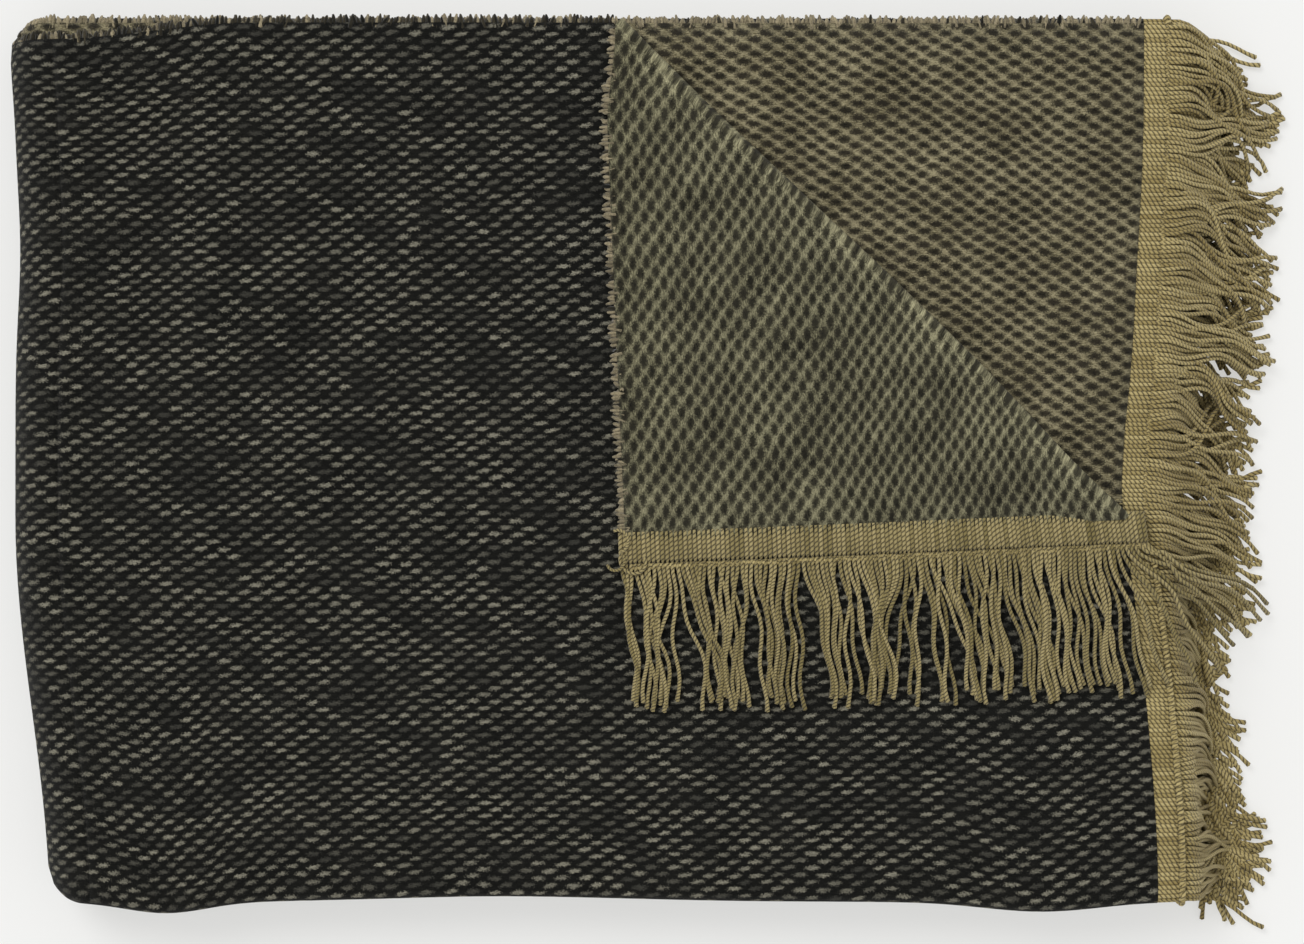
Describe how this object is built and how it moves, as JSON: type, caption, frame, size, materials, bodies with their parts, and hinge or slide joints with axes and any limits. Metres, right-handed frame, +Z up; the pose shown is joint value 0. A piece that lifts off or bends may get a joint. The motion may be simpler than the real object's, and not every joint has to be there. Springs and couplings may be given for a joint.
{
  "type": "folded throw blanket",
  "caption": "Reversible woven throw with corded fringe, folded into a flat rectangle with one corner turned down.",
  "frame": {"origin": "middle of the underside, at the centre of the outline with the hanging fringe", "axes": "+X along the strip towards the fringed end, +Y towards the two selvedges, +Z up through the stack"},
  "size_m": [0.46, 0.322, 0.0371],
  "materials": {
    "charcoal_cloth": "matte",
    "taupe_cloth": "matte",
    "khaki_cord": "matte"
  },
  "bodies": {
    "lower_half": {"third_leaf": "charcoal_cloth", "base_leaf": "taupe_cloth", "right_centre_fold": "charcoal_cloth"},
    "upper_half": {"front_leaf": "charcoal_cloth", "second_leaf": "taupe_cloth", "left_outer_fold": "charcoal_cloth", "left_inner_fold": "taupe_cloth", "corner_crease": "charcoal_cloth", "front_header_tape": "khaki_cord", "front_edge_cord": "khaki_cord", "second_header_tape": "khaki_cord", "second_edge_cord": "khaki_cord", "front_fringe": "khaki_cord", "under_fringe": "khaki_cord", "second_fringe": "khaki_cord"},
    "turned_corner": {"corner_flap": "taupe_cloth", "turned_header_tape": "khaki_cord", "turned_edge_cord": "khaki_cord", "turned_fringe": "khaki_cord"}
  },
  "joints": [
    {"name": "book_fold", "type": "hinge", "parent": "lower_half", "child": "upper_half", "pos_m": [-0.21255, 0, 0.01745], "axis": [0, -1, 0], "range_deg": [0, 175], "deforming": ["left_outer_fold", "left_inner_fold"]},
    {"name": "corner_fold", "type": "hinge", "parent": "upper_half", "child": "turned_corner", "pos_m": [-0.011, 0.159, 0.03505], "axis": [-0.7213, 0.6926, 0], "range_deg": [0, 180], "deforming": ["corner_crease"]}
  ]
}
